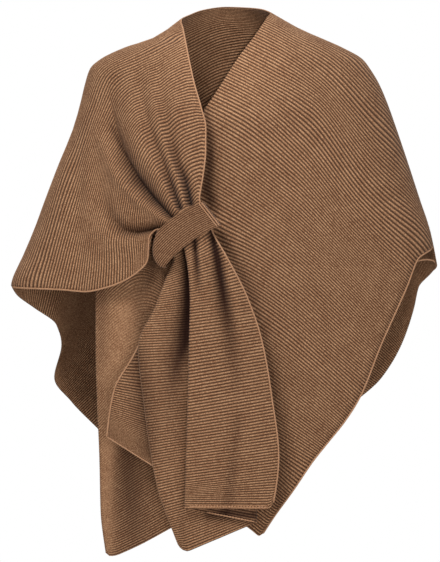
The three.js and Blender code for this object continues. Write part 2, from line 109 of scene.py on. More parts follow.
# The left front, a row per knitted course: points at set shares of its width, and how far
# it lies off the figure at its inner and at its outer edge in mm
LEFT_FRONT_SHARES = (0, 0.12, 0.25, 0.5, 0.75, 1)
LEFT_FRONT_TOP = (13, 92)
LEFT_FRONT = [
    ((266.5, 18.5), (280, 25), (296, 34), (332, 52), (367, 83), (PAST_SIDE, 110), (0, 0)),
    ((262, 25.5), (275, 32), (291, 41), (328, 62), (368, 100), (PAST_SIDE, 138), (0, 0)),
    ((255, 36), (269, 43), (284, 51), (320, 76), (366, 122), (PAST_SIDE, 172), (0, 0)),
    ((238, 59), (254, 66), (272, 75), (314, 102), (368, 159), (PAST_SIDE, 238), (-2, 0)),
    ((218, 90), (237, 98), (257, 108), (305, 142), (362, 203), (417, 259), (-7, 0)),
    ((196, 122), (219, 131), (243, 142), (294, 175), (350, 234), (404, 291), (-13, 0)),
    ((165, 174), (190, 185), (217, 197), (270, 228), (328, 279), (381, 342), (-13, 0)),
    ((130, 231), (155, 243), (185, 258), (245, 287), (305, 330), (359, 396), (-13, 0)),
    ((94, 290), (113, 272), (138, 262), (210, 308), (282, 352), (344, 420), (-13, 0)),
    ((94, 345), (115, 323), (145, 308), (213, 352), (276, 390), (328, 440), (-13, 0)),
    ((95, 400), (120, 376), (158, 360), (220, 398), (270, 427), (312, 460), (-13, 0)),
    ((97, 455), (128, 428), (172, 408), (225, 437), (265, 460), (293, 488), (-13, 0)),
    ((98, 510), (135, 488), (190, 461), (228, 480), (257, 498), (275, 513), (-13, 0)),
    ((104, 559), (140, 543), (205, 510), (228, 516), (246, 525), (260, 536), (-13, 0)),
]

# How far a rib strays from the courses of the table, in table rows: first where it begins,
# counted from the shoulder, then at the shares of the width
LEFT_FRONT_STRAY = [
    (0, 0, 0, 0, 0, 0, 0),
    (2, 0, 0, 0, 0, 0.05, 0.1),
    (3, 0, 0, 0, 0, 0.1, 0.21),
    (4, 0, 0.03, 0.05, 0, 0.2, 0.05),
    (5, 0, 0.03, 0.06, 0.25, 0.42, 0.38),
    (6, 0, 0.05, 0.1, 0.2, 0.2, 0.12),
    (7, 0, 0.03, 0.05, 0.08, 0.05, -0.08),
    (8, 0, 0, 0, 0, 0.02, -0.25),
    (9, 0, 0, 0, 0, 0.12, -0.3),
    (10, 0, 0, 0, 0, 0.05, -0.25),
    (12, 0, 0, 0, 0, 0, -0.1),
    (14, 0, 0, 0, 0, 0, 0),
]

LEFT_FRONT_VALLEYS = [
    (2.0, [(121, 400, 0, 14), (121, 440, 5, 13), (124, 490, 9, 13), (124, 530, 7, 12)]),
    (2.0, [(240, 110, 0, 12), (222, 150, 3, 9), (214, 180, 5, 8), (206, 200, 5, 8)]),
]

# Painted shade where it lies close under other cloth: column, line, how dark and half width in
# columns
LEFT_FRONT_SHADES = [
    (2.0, [(118, 420, 0.1, 14), (124, 445, 0.6, 15), (128, 490, 0.75, 18), (132, 540, 0.4, 20)]),
    (2.0, [(100, 290, 0.35, 8), (100, 350, 0.2, 8), (100, 400, 0, 8)]),
    (2.0, [(150, 350, 0.4, 10), (140, 300, 0.5, 12), (155, 268, 0.6, 10)]),
    (2.0, [(222, 236, 0.5, 6), (252, 300, 0.45, 8), (268, 370, 0.45, 9), (278, 430, 0.4, 9),
           (279, 505, 0.4, 8)]),
    (2.0, [(205, 108, 0.3, 4), (210, 130, 0.6, 4.5), (210, 155, 0.9, 5), (206, 190, 1, 6),
           (214, 208, 0.6, 6)]),
]

# How close its ribs are against the usual pitch: table row, inner part and outer part
LEFT_FRONT_CLOSENESS = [
    (0, 0.8, 0.8), (3, 0.8, 0.8), (4.5, 1, 1), (7, 1, 1), (8, 0.95, 0.95), (9, 1.2, 0.86),
    (11, 1.5, 0.82), (14, 1.75, 0.82),
]
RIBS_CHANGE_AT = 0.42

# Where its ribs hardly show: column, line, share and half width in columns
LEFT_FRONT_PLAIN = [
    (2.0, [(140, 290, 0.4, 14), (126, 310, 0.55, 20), (120, 360, 0.6, 22), (112, 420, 0.5, 12),
           (104, 470, 0.7, 7), (104, 545, 0.7, 7)]),
]

# The right front down to the loop, in the same way
RIGHT_FRONT_SHARES = (0, 0.2, 0.4, 0.6, 0.8, 1)
RIGHT_FRONT_TOP = (20, 286)
RIGHT_FRONT = [
    ((182.5, 29), (139, 50), (94, 82), (69, 151), (46, 219), (23, 287.5), (0, 0)),
    ((185, 42), (147, 57), (104, 80), (80, 145), (57, 215), (38, 288), (0, 0)),
    ((189, 62), (155, 74), (116, 97), (95, 155), (78, 218), (62, 289), (1, 1)),
    ((194, 84), (163, 95), (129, 117), (110, 165), (97, 219), (86, 291), (4, 3)),
    ((201, 108), (174, 117), (145, 136), (127, 174), (116, 218), (107, 287), (8, 6)),
    ((206, 130), (184, 139), (160, 154), (144, 183), (134, 216), (126, 280), (13, 10)),
    ((206, 152), (190, 158), (170, 170), (156, 192), (147, 216), (140, 271), (18, 14)),
    ((204, 174), (191, 179), (177, 188), (165, 202), (156, 219), (150, 259), (23, 18)),
    ((202, 187), (192, 192), (181, 199), (171, 209), (161, 221), (152.5, 237), (26, 22)),
    ((200.5, 199.5), (193, 205), (185, 210.5), (177, 216), (168.5, 222.5), (160, 229.5),
     (28, 27)),
    ((204.5, 211.5), (196.8, 217.2), (189.1, 222.9), (181.4, 228.6), (173.7, 234.3),
     (166, 240), (29, 28)),
]

RIGHT_FRONT_STRAY = [
    (0, 0, 0, 0, 0, 0, 0),
    (1, 0, 0.2, 0.25, 0.22, 0.2, 0.2),
    (2, 0, 0.32, 0.42, 0.4, 0.35, 0.3),
    (3, 0, 0.25, 0.38, 0.33, 0.28, 0.27),
    (4, 0, 0.1, 0.2, 0.15, 0.1, 0.2),
    (5, 0, -0.1, 0, 0, 0, 0.3),
    (6, 0, 0, 0, 0, 0, 0.55),
    (7, 0, 0, 0, 0, 0, 0.55),
    (8, 0, 0, 0, 0, 0, 0.4),
    (9, 0, 0, 0, 0, 0, 0.2),
    (11, 0, 0, 0, 0, 0, 0),
]

# Its valleys towards the loop: column, line, depth in mm and half width in columns
RIGHT_FRONT_VALLEYS = [
    (1.7, [(156, 50, 0, 8), (161, 85, 4.5, 6.5), (167, 115, 7.5, 6), (173, 141, 11, 5.5),
           (180.7, 166, 16, 4.8), (187, 180, 20, 4.2), (192, 203, 21, 3.8)]),
    (1.7, [(134, 60, 0, 9), (141, 88, 4.5, 7), (148, 116, 8, 6.5), (158, 143, 11, 6),
           (166.6, 164, 13, 5.2), (175, 187, 17, 4.4), (182, 207, 19, 3.4)]),
    (1.05, [(104, 76, 0, 12), (112, 110, 9, 10), (116, 130, 15, 9), (127, 158, 23, 8),
            (138.6, 177.5, 29, 7), (155.4, 197, 30, 5.4), (173.7, 215.4, 24, 3.8)]),
    (1.5, [(98, 160, 0, 13), (102, 180, 5, 12), (106, 201, 9, 10), (115, 219.6, 14, 8),
           (124, 228, 18, 6.5), (138, 230, 21, 5.5), (158, 226.6, 21, 4.5),
           (165, 226.5, 19, 3.6)]),
    (2.0, [(78, 120, 0, 9), (77, 160, 3.5, 9), (78, 220, 4, 9), (80, 292, 3, 9)]),
]
RIGHT_FRONT_CRESTS = [
    (2.0, [(150, 70, 0, 8), (154, 120, 3, 7), (168, 155, 5, 7), (180, 185, 5, 5),
           (187, 205, 2, 3.5)]),
    (2.0, [(124, 80, 0, 9), (130, 120, 3, 9), (142, 150, 6, 8), (160, 180, 7, 6),
           (177, 210, 2, 4)]),
    (2.0, [(96, 110, 0, 10), (104, 140, 5, 8), (119, 176, 9, 7), (142, 203, 9, 6),
           (166, 219, 2, 4)]),
    (2.0, [(95, 230, 0, 9), (112, 244, 5, 9), (132, 246, 5, 8), (154, 238, 1, 5)]),
]

# Painted shade lines where its folds close: column, line, how dark and half width in columns
RIGHT_FRONT_SHADES = [
    (1.6, [(106, 114, 0, 2), (112, 129, 0.5, 2.4), (120, 146, 0.85, 2.4), (134, 170, 0.95, 2.2),
           (151, 190.5, 1, 2.2), (173, 214.5, 1, 2)]),
    (1.6, [(182, 166, 0, 2), (187, 180, 0.8, 2.2), (191, 192, 1, 2.6), (193, 204, 1, 2.6)]),
    (1.6, [(170, 176, 0, 2), (176, 190, 0.7, 2.2), (183, 208, 1, 2.4)]),
    (1.6, [(112, 222, 0, 2), (124, 228, 0.6, 2), (140, 230.5, 0.9, 2.2), (164, 227, 1, 2)]),
]
SAG = 4.2
SAG_DEPTH = 6

# How far the cloth swells out between its edges above the loop, in mm
GATHER_PUFF = 4

# The right front below the loop, a row per course: its right edge, the folds between its
# layers in turn, and the free edge of the flap at the back
TAIL = [
    ((204.7, 211.9), (184.2, 227.4), (196, 218.4), (163, 242.8), (170, 237.7), (163, 242.8)),
    ((212, 231), (187, 250), (204, 239), (176, 258), (184, 252), (175, 259)),
    ((226, 257), (190, 268), (214, 262), (168, 279), (179, 277), (168, 281)),
    ((246, 298), (192, 301), (230, 302), (157, 309), (171, 310), (156, 312)),
    ((260, 342), (191, 343), (245, 346), (142, 348), (160, 350), (138, 352)),
    ((269, 396), (190, 397), (250, 403), (149, 413), (165, 400), (118, 389)),
    ((275.5, 455), (188.5, 453), (254, 463), (160, 481), (169, 440), (113, 417)),
    ((270, 508), (187, 507), (255, 521), (184, 552), (171, 475), (111, 436)),
]
TAIL_COLUMNS = (38, 7, 24, 5, 14)
TAIL_LEFT_TURN = 38 + 1 + 3 + 7 + 1 + 3 + 24 + 1 + 1
TAIL_FRONT_LIFT = 30.6
FOLD_RADIUS = 3
FOLD_TURNS = 4

# Rib counts at the rows of the tail's table in its front layer, in those behind it and in
# the flap, and how far its ribs rise towards the right, in shares of the length a column
TAIL_RIBS = (0, 6, 15, 29, 44, 62, 82, 101)
TAIL_REAR_RIBS = (0, 6, 15, 29, 46, 70, 96, 121)
TAIL_FLAP_RIBS = (0, 5, 11, 21, 32, 46, 61, 79)
TAIL_ROWS_PER_RIB = 3.6
TAIL_RIB_RISE = 0.00045
TAIL_REAR_RIB_RISE = 0.0001

# Its rounded hem corners: width in columns, and height as a share of the length
TAIL_CORNER = 7
TAIL_CORNER_HEIGHT = 0.018
TAIL_VALLEYS = [
    (2.0, [(195, 236, 12, 3), (198, 262, 11, 3.5), (199, 285, 5, 4.5), (200, 310, 0, 6)]),
    (1.8, [(211, 228, 14, 4), (218, 260, 15, 5.5), (224, 300, 12, 7), (230, 336, 8, 9),
           (236, 380, 4, 11), (240, 430, 0, 12)]),
    (2.0, [(240, 380, 0, 8), (238, 420, 4, 8), (232, 470, 5, 8), (228, 508, 5, 8)]),
]
TAIL_CRESTS = [
    (2.0, [(218, 240, 0, 4), (226, 262, 3, 5), (238, 300, 4, 7), (250, 350, 2, 9),
           (256, 400, 0, 9)]),
]
# The valley beside the front layer, in those behind it
TAIL_SIDE_VALLEY = [
    (1.6, [(186, 244, 12, 5), (189, 275, 14, 6), (190, 310, 14, 8), (186, 345, 12, 11),
           (176, 372, 6, 12), (164, 400, 0, 14)]),
]
# Painted shade in the layers behind the front one: column, line, how dark and half width in
# columns
TAIL_SHADES = [
    (1.6, [(188, 240, 1.1, 5), (190, 270, 1.4, 6.5), (190, 310, 1.4, 9), (186, 340, 1.1, 12),
           (178, 365, 0.8, 10), (174, 395, 0.3, 11), (178, 430, 0.1, 12)]),
    (2.0, [(210, 512, 0.8, 6), (262, 514, 0.8, 6)]),
    (2.0, [(140, 350, 0.5, 10), (146, 400, 0.5, 12), (152, 450, 0.4, 10)]),
]
# The layers behind the front one turn to face right: raised at their left by so many mm,
# from a column on, over so many columns and, lower down, over fewer
TAIL_TILT = 10
TAIL_TILT_FROM = 188
TAIL_TILT_OVER = 40
TAIL_STEP_OVER = 10
TAIL_FOLDS = [(0.22, 0.3, 0.15, 0.8, 7, 0.15), (0.66, 0.72, 0.15, 0.95, 8, 0.16)]

# The back, a row per course from the one overarm line to the other
BACK_SHARES = (0, 0.18, 0.36, 0.5, 0.64, 0.82, 1)
BACK_NECK = (0.36, 0.64)
BACK_NECK_EDGE = np.array([
    (181, 20), (190, 15), (203, 10), (226, 6.6), (251, 8), (263, 10), (270, 13),
])
BACK_LEFT_TOP = (286, 20)
BACK_RIGHT_TOP = (13, 247)
BACK = [
    ((19, 297), (80, 118), (172, 36), (226, 21), (278, 31), (384, 125), (436, 263)),
    ((34, 308), (90, 150), (165, 62), (226, 46), (287, 58), (376, 140), (432, 272)),
    ((56, 325), (100, 195), (165, 105), (226, 85), (290, 100), (368, 175), (419, 287)),
    ((61, 345), (110, 245), (165, 165), (226, 145), (290, 160), (358, 225), (414, 309)),
    ((54, 378), (115, 300), (170, 232), (226, 212), (285, 228), (345, 283), (403, 342)),
    ((71, 402), (125, 350), (175, 300), (226, 283), (280, 298), (330, 338), (382, 378)),
    ((103, 435), (140, 400), (180, 372), (226, 360), (272, 370), (310, 395), (345, 412)),
    ((150, 486), (170, 470), (195, 456), (226, 450), (255, 455), (275, 464), (292, 474)),
]
BACK_STRAY = [
    (0, 0, 0, 0, 0, 0, 0, 0),
    (1, 0, 0, 0.25, 0, -0.25, 0, 0),
    (2, 0, 0, 0.4, 0, -0.4, 0, 0),
    (3, 0, 0, 0.3, 0, -0.3, 0, 0),
    (4, 0, 0, 0.1, 0, -0.1, 0, 0),
    (6, 0, 0, 0, 0, 0, 0, 0),
    (8, 0, 0, 0, 0, 0, 0, 0),
]


def smooth(knots, values, at):
    """A smooth curve through values at rising knots that never swings past them."""
    knots, values, at = (np.asarray(x, float) for x in (knots, values, at))
    i = np.clip(np.searchsorted(knots, at) - 1, 0, len(knots) - 2)
    span = np.diff(knots)
    rise = np.diff(values) / span
    before, after = rise[:-1], rise[1:]
    same_way = before * after > 0
    inner = np.where(same_way, 2 * before * after / np.where(same_way, before + after, 1), 0)
    slope = np.concatenate([rise[:1], inner, rise[-1:]])
    t = (at - knots[i]) / span[i]
    t2 = t * t
    t3 = t2 * t
    return (
        (2 * t3 - 3 * t2 + 1) * values[i]
        + (t3 - 2 * t2 + t) * span[i] * slope[i]
        + (3 * t2 - 2 * t3) * values[i + 1]
        + (t3 - t2) * span[i] * slope[i + 1]
    )


def mix(a, b, t):
    return a + (b - a) * t


def ease(t):
    c = np.clip(t, 0, 1)
    return c * c * (3 - 2 * c)


def figure_at(down):
    """Middle column, half width in columns, and depth to the front and back in metres."""
    left, right, front, back = (smooth(FIGURE[:, 0], FIGURE[:, k], down) for k in range(1, 5))
    return (left + right) / 2, (right - left) / 2, front * MM, back * MM


def angle_of(across, down, behind=False):
    mid, half = figure_at(down)[:2]
    angle = np.arccos(np.clip((across - mid) / half, -1, 1))
    return 2 * math.pi - angle if behind else angle


def column_at(angle, down):
    mid, half = figure_at(down)[:2]
    return mid + half * np.cos(angle)


def on_figure(angle, down, lift):
    """Points of the figure at angles and grid lines, lifted off it by so many mm."""
    mid, half, front, back = figure_at(down)
    c, s = np.cos(angle), np.sin(angle)
    depth = np.where(s > 0, front, back)
    normal = np.stack([c / (half * STEP), -s / depth])
    normal /= np.linalg.norm(normal, axis=0)
    x = (mid + half * c - MIDDLE) * STEP + normal[0] * lift * MM
    y = -depth * s + normal[1] * lift * MM
    return np.stack([x, y, (NAPE - down) * STEP + 0 * x], axis=-1)


def grid_points(across, down, lift):
    return on_figure(angle_of(across, down), down, lift)


def overarm_lines(side, top, us):
    """Grid lines at even distances along an overarm line between two of its lines."""
    downs = np.linspace(top[0], top[1], 200)
    points = on_figure(side + 0 * downs, downs, 0 * downs)
    lengths = np.concatenate([[0], np.cumsum(np.linalg.norm(np.diff(points, axis=0), axis=1))])
    return np.interp(np.asarray(us) * lengths[-1], lengths, downs)


def overarm_course(side, top, us):
    downs = overarm_lines(side, top, us)
    angles = side + 0 * downs
    return np.stack([angles, downs, 0 * downs, column_at(angles, downs)])


def course_of(shares, row, behind, us):
    """A table row at shares of its width: angle, grid line, lift and column."""
    lift = (0, 0)
    if len(row) > len(shares):
        row, lift = row[:-1], row[-1]
    across, down = np.array(row, float).T
    angles = angle_of(across, down, behind)
    return np.stack([
        smooth(shares, angles, us),
        smooth(shares, down, us),
        mix(lift[0], lift[1], us),
        smooth(shares, column_at(angles, down), us),
    ])


def back_course(us):
    made = np.empty((4, len(us)))
    left = us <= BACK_NECK[0]
    right = us >= BACK_NECK[1]
    neck = ~left & ~right
    made[:, left] = overarm_course(LEFT_SIDE, BACK_LEFT_TOP, us[left] / BACK_NECK[0])
    share = (us[right] - BACK_NECK[1]) / (1 - BACK_NECK[1])
    made[:, right] = overarm_course(RIGHT_SIDE, BACK_RIGHT_TOP, share)
    made[0, right] = 2 * math.pi
    share = (us[neck] - BACK_NECK[0]) / (BACK_NECK[1] - BACK_NECK[0])
    knots = np.linspace(0, 1, len(BACK_NECK_EDGE))
    edge_angles = angle_of(BACK_NECK_EDGE[:, 0], BACK_NECK_EDGE[:, 1], True)
    angles = smooth(knots, edge_angles, share)
    downs = smooth(knots, BACK_NECK_EDGE[:, 1], share)
    made[:, neck] = np.stack([angles, downs, 0 * downs, column_at(angles, downs)])
    return made


def back_mirrored(us):
    return (us < BACK_NECK[0]) | (us > BACK_NECK[1])


# Near its sides a panel follows the figure by angle, and elsewhere by its columns
BY_ANGLE = 0.3
BY_COLUMN = 0.7
MEASURED_AT = np.array([0.1, 0.35, 0.6, 0.85])


class Panel:
    """A panel over the figure: u is the share of its width and v of its length."""

    def __init__(self, first, shares, rows, behind, mirrored):
        self.behind = behind
        self.courses = [first] + [
            lambda us, row=row: course_of(shares, row, behind, us) for row in rows
        ]
        self.mirrored = mirrored
        points = [on_figure(*course(MEASURED_AT)[:3]) for course in self.courses]
        steps = [np.linalg.norm(b - a, axis=1).mean() for a, b in zip(points, points[1:])]
        self.length = sum(steps)
        knots = np.concatenate([[0], np.cumsum(steps)])
        self.lines = np.concatenate([[-knots[1]], knots]) / self.length

    def share_of(self, row):
        """Share of the length at a table row, counted from the first course as nought."""
        return np.interp(row, np.arange(len(self.lines) - 1), self.lines[1:])

    def grid(self, us, vs):
        """Angle, grid line and lift at each v (rows) and u (columns)."""
        us, vs = np.asarray(us, float), np.asarray(vs, float)
        vs = np.broadcast_to(vs if vs.ndim == 2 else vs[:, None], (len(vs), len(us)))
        values = np.stack([course(us) for course in self.courses])
        ghost = 2 * values[0] - values[1]
        over = self.mirrored(us)
        ghost[1:, over] = values[1][1:, over]
        values = np.concatenate([ghost[None], values])
        made = np.empty((4, *vs.shape))
        for k in range(4):
            for j in range(len(us)):
                made[k, :, j] = smooth(self.lines, values[:, k, j], vs[:, j])
        angle, down, lift, column = made
        share = ease((np.abs(np.sin(angle)) - BY_ANGLE) / (BY_COLUMN - BY_ANGLE))
        angle = mix(angle, angle_of(column, down, self.behind), share)
        side = LEFT_SIDE if self.behind else RIGHT_SIDE
        return np.clip(angle, side, side + math.pi), down, lift


def everywhere(us):
    return np.ones(len(us), bool)


LEFT = Panel(
    lambda us: overarm_course(RIGHT_SIDE, LEFT_FRONT_TOP, us),
    LEFT_FRONT_SHARES, LEFT_FRONT, False, everywhere,
)
RIGHT = Panel(
    lambda us: overarm_course(LEFT_SIDE, RIGHT_FRONT_TOP, us),
    RIGHT_FRONT_SHARES, RIGHT_FRONT, False, everywhere,
)
REAR = Panel(back_course, BACK_SHARES, BACK, True, back_mirrored)


def strayed(panel, table, shares, us, rows):
    """Shares of the length, for each rib row and column, of ribs that stray from courses."""
    table = np.array(table, float)
    vs = panel.share_of(rows)
    knots = panel.share_of(table[:, 0])
    at_shares = np.stack([
        smooth(knots, panel.share_of(table[:, 0] + table[:, k + 1]) - knots, vs)
        for k in range(len(shares))
    ])
    return vs[:, None] + np.stack([smooth(shares, values, us) for values in at_shares.T])


def near_line(across, down, line):
    """For each place, how far it is from a line of points, and the line's values there."""
    line = np.array(line, float)
    best = np.full(across.shape, np.inf)
    values = np.zeros((line.shape[1] - 2, *across.shape))
    for a, b in zip(line, line[1:]):
        run = b[:2] - a[:2]
        t = ((across - a[0]) * run[0] + (down - a[1]) * run[1]) / (run @ run)
        t = np.clip(t, 0, 1)
        away = np.hypot(across - a[0] - t * run[0], down - a[1] - t * run[1])
        closer = away < best
        best = np.where(closer, away, best)
        for k in range(len(values)):
            values[k] = np.where(closer, mix(a[k + 2], b[k + 2], t), values[k])
    return best, values


def valley_depth(across, down, valleys):
    """Depth in mm of the deepest valley at each place; for the crest, plain and shade tables, the
    greatest crest height, plainness or amount of painted shade.
    """
    deepest = np.zeros(across.shape)
    for power, line in valleys:
        away, (depth, half) = near_line(across, down, line)
        deepest = np.maximum(deepest, depth * np.exp(-(away / half) ** power))
    return deepest


# Knit: ribs run along a panel's courses, rounded with narrow troughs between them
RIB_PITCH = 5.0 * MM
RIB_HEIGHT = 1.0 * MM
WALL = 1.3 * MM
STITCH = 2.6 * MM
ROWS_PER_RIB = 4
RIGHT_CLOSENESS = 1.05
BACK_CLOSENESS = 1.05
ROW_STEPS = np.arange(15)


def ribs_over(length):
    return int(round(length / RIB_PITCH))


def rib_rows(ribs):
    return np.linspace(0, 1, ribs * ROWS_PER_RIB + 1)


def normals_of(points):
    """Unit normals of a grid of points."""
    along = np.gradient(points, axis=0)
    across = np.gradient(points, axis=1)
    normal = np.cross(across, along)
    return normal / np.maximum(np.linalg.norm(normal, axis=2, keepdims=True), 1e-12)


def grid_faces(rows, columns, start=0, closed=False):
    """Corner numbers of the quads of a grid whose points are numbered row by row."""
    i, j = np.meshgrid(
        np.arange(rows - 1), np.arange(columns if closed else columns - 1), indexing="ij"
    )
    after = (j + 1) % columns
    corners = [i * columns + j, (i + 1) * columns + j, (i + 1) * columns + after,
               i * columns + after]
    return np.stack([c.ravel() for c in corners], axis=1) + start


def mesh_object(name, points, faces, knit, material, ribs_and_shade=None):
    """A smooth mesh with its knit map, stitches and ribs counted at each point, and its
    ribs-and-shade map, how ribbed it is and how much painted shade darkens it there."""
    mesh = bpy.data.meshes.new(name)
    mesh.vertices.add(len(points))
    mesh.vertices.foreach_set("co", np.asarray(points, np.float32).ravel())
    mesh.loops.add(faces.size)
    mesh.loops.foreach_set("vertex_index", faces.ravel().astype(np.int32))
    mesh.polygons.add(len(faces))
    mesh.polygons.foreach_set("loop_start", np.arange(0, faces.size, 4, dtype=np.int32))
    mesh.polygons.foreach_set("use_smooth", np.ones(len(faces), bool))
    mesh.update(calc_edges=True)
    knit_map = mesh.uv_layers.new(name="knit")
    knit_map.data.foreach_set("uv", knit[faces.ravel()].astype(np.float32).ravel())
    if ribs_and_shade is None:
        ribs_and_shade = np.stack([np.ones(len(points)), np.zeros(len(points))], axis=1)
    ribs_and_shade_map = mesh.uv_layers.new(name="ribs_and_shade")
    ribs_and_shade_map.data.foreach_set("uv", ribs_and_shade[faces.ravel()].astype(np.float32).ravel())
    mesh.validate()
    mesh.materials.append(material)
    made = bpy.data.objects.new(name, mesh)
    bpy.context.collection.objects.link(made)
    return made


def knitted_wall(name, middle, phase, material, seam=0.0, facing=1.0, ribbed=1.0, painted_shade=0.0):
    """A ribbed wall through a grid of middle points; phase counts the ribs."""
    rows, columns = middle.shape[:2]
    normal = normals_of(middle) * facing
    if seam:
        on_seam = np.abs(middle[..., 1]) < 1e-9
        middle = middle.copy()
        middle[on_seam, 1] = seam
        normal[on_seam, 1] = 0
        normal /= np.maximum(np.linalg.norm(normal, axis=2, keepdims=True), 1e-9)
    ribbed = ribbed + 0 * phase
    # Painted shade, carried to the colour through the second map
    painted_shade = painted_shade + 0 * phase
    out = WALL / 2 + RIB_HEIGHT * mix(0.5, np.abs(np.cos(math.pi * phase)), ribbed)
    inn = WALL / 2 + RIB_HEIGHT * mix(0.5, np.abs(np.sin(math.pi * phase)), ribbed)
    front = middle + normal * out[..., None]
    rear = middle - normal * inn[..., None]
    steps = np.linalg.norm(np.diff(middle, axis=1), axis=2)
    along = np.concatenate([np.zeros((rows, 1)), np.cumsum(steps, axis=1)], axis=1)
    knit_front = np.stack([along / STITCH, phase], axis=-1)
    knit_rear = np.stack([along / STITCH, phase + 0.5], axis=-1)
    points = np.concatenate([front.reshape(-1, 3), rear.reshape(-1, 3)])
    knit = np.concatenate([knit_front.reshape(-1, 2), knit_rear.reshape(-1, 2)])
    ribs_and_shade = np.stack([ribbed.ravel(), painted_shade.ravel()], axis=1)
    ribs_and_shade = np.concatenate([ribs_and_shade, ribs_and_shade])
    count = rows * columns
    outer = grid_faces(rows, columns)
    inner = grid_faces(rows, columns, count)[:, ::-1]
    number = np.arange(count).reshape(rows, columns)
    ring = np.concatenate([
        number[0], number[1:, -1], number[-1, -2::-1], number[-2:0:-1, 0],
    ])
    after = np.roll(ring, -1)
    rim = np.stack([ring, after, after + count, ring + count], axis=1)
    faces = np.concatenate([outer, inner, rim])
    if facing < 0:
        faces = faces[:, ::-1]
    return mesh_object(name, points, faces, knit, material, ribs_and_shade)


EIGHT_SIDED_END = np.array([(0, 1, 2, 3), (0, 3, 4, 7), (4, 5, 6, 7)])


def rope(name, path, radius, material, pitch, bumps):
    """A chain edge along a path: a thin roll, pinched between its stitches."""
    path = np.asarray(path)
    lengths = np.concatenate([[0], np.cumsum(np.linalg.norm(np.diff(path, axis=0), axis=1))])
    per_stitch = 4
    count = max(8, int(lengths[-1] / pitch * per_stitch))
    at = np.linspace(0, lengths[-1], count)
    spine = np.stack([np.interp(at, lengths, path[:, k]) for k in range(3)], axis=1)
    tangent = np.gradient(spine, axis=0)
    tangent /= np.linalg.norm(tangent, axis=1, keepdims=True)
    side = np.cross(tangent, (0, -1, 0))
    side /= np.maximum(np.linalg.norm(side, axis=1, keepdims=True), 1e-9)
    front = np.cross(side, tangent)
    turn = np.linspace(0, 2 * math.pi, 8, endpoint=False)
    beat = 1 - bumps * (0.5 - 0.5 * np.cos(2 * math.pi * at / pitch))
    taper = np.minimum(1, np.minimum(at, lengths[-1] - at) / (2 * radius) + 0.3)
    size = radius * beat * taper
    points = (
        spine[:, None]
        + (np.cos(turn)[None, :, None] * side[:, None]) * size[:, None, None]
        + (np.sin(turn)[None, :, None] * front[:, None]) * size[:, None, None]
    )
    knit = np.stack(np.broadcast_arrays(at[:, None] / pitch, turn[None] / math.pi), axis=-1)
    faces = grid_faces(count, 8, closed=True)
    faces = np.concatenate([faces, EIGHT_SIDED_END, (EIGHT_SIDED_END + (count - 1) * 8)[:, ::-1]])
    return mesh_object(name, points.reshape(-1, 3), faces, knit.reshape(-1, 2), material)


class Value:
    """A shader socket that ordinary arithmetic works on."""

    def __init__(self, finish, socket):
        self.finish = finish
        self.socket = socket

    def math(self, operation, *others):
        return self.finish.node("ShaderNodeMath", {"operation": operation}, [self, *others])

    def __add__(self, other):
        return self.math("ADD", other)

    __radd__ = __add__

    def __mul__(self, other):
        return self.math("MULTIPLY", other)

    __rmul__ = __mul__

    def __sub__(self, other):
        return self.math("SUBTRACT", other)

    def __rsub__(self, other):
        return self * -1 + other

    def __pow__(self, other):
        return self.math("POWER", other)

    def __abs__(self):
        return self.math("ABSOLUTE")


class Finish:
    """A material on one Principled shader, built up from values."""

    def __init__(self, name):
        self.material = bpy.data.materials.new(name)
        self.material.use_nodes = True
        self.nodes = self.material.node_tree.nodes
        self.links = self.material.node_tree.links
        self.shader = self.nodes["Principled BSDF"]

    def node(self, kind, settings=None, inputs=(), output=0):
        """A node with its settings made first, then its sockets by place or by name."""
        made = self.nodes.new(kind)
        for key, value in (settings or {}).items():
            setattr(made, key, value)
        pairs = inputs.items() if isinstance(inputs, dict) else enumerate(inputs)
        for key, value in pairs:
            self.set(made.inputs[key], value)
        return Value(self, made.outputs[output])

    def set(self, socket, value):
        if isinstance(value, Value):
            self.links.new(value.socket, socket)
        else:
            socket.default_value = value

    def shade(self, values):
        for key, value in values.items():
            self.set(self.shader.inputs[key], value)

    def colour(self, a, b, share):
        """A colour mixed from a to b."""
        return self.node(
            "ShaderNodeMix", {"data_type": "RGBA"}, {0: share, 6: a, 7: b}, output=2
        )

    def noise(self, scale, detail=2.0):
        place = self.node("ShaderNodeTexCoord", output="Object")
        return self.node(
            "ShaderNodeTexNoise", {}, {"Vector": place, "Scale": scale, "Detail": detail}
        )


def rgb(red, green, blue):
    """A colour given as a screen shows it, from 0 to 255."""
    linear = [((c / 255 + 0.055) / 1.055) ** 2.4 for c in (red, green, blue)]
    return (*linear, 1.0)


YARN_LIGHT = rgb(244, 192, 147)
YARN_MIDDLE = rgb(196, 145, 104)
YARN_DARK = rgb(122, 73, 46)
# Painted shade: the colour that rib troughs, folds and valleys are darkened towards
TROUGH_SHADE = rgb(38, 15, 8)
BAND_LIGHT = rgb(214, 164, 124)
BAND_MIDDLE = rgb(172, 126, 90)
BAND_DARK = rgb(112, 72, 46)
EDGE_LIGHT = rgb(222, 178, 144)
EDGE_DARK = rgb(166, 124, 92)


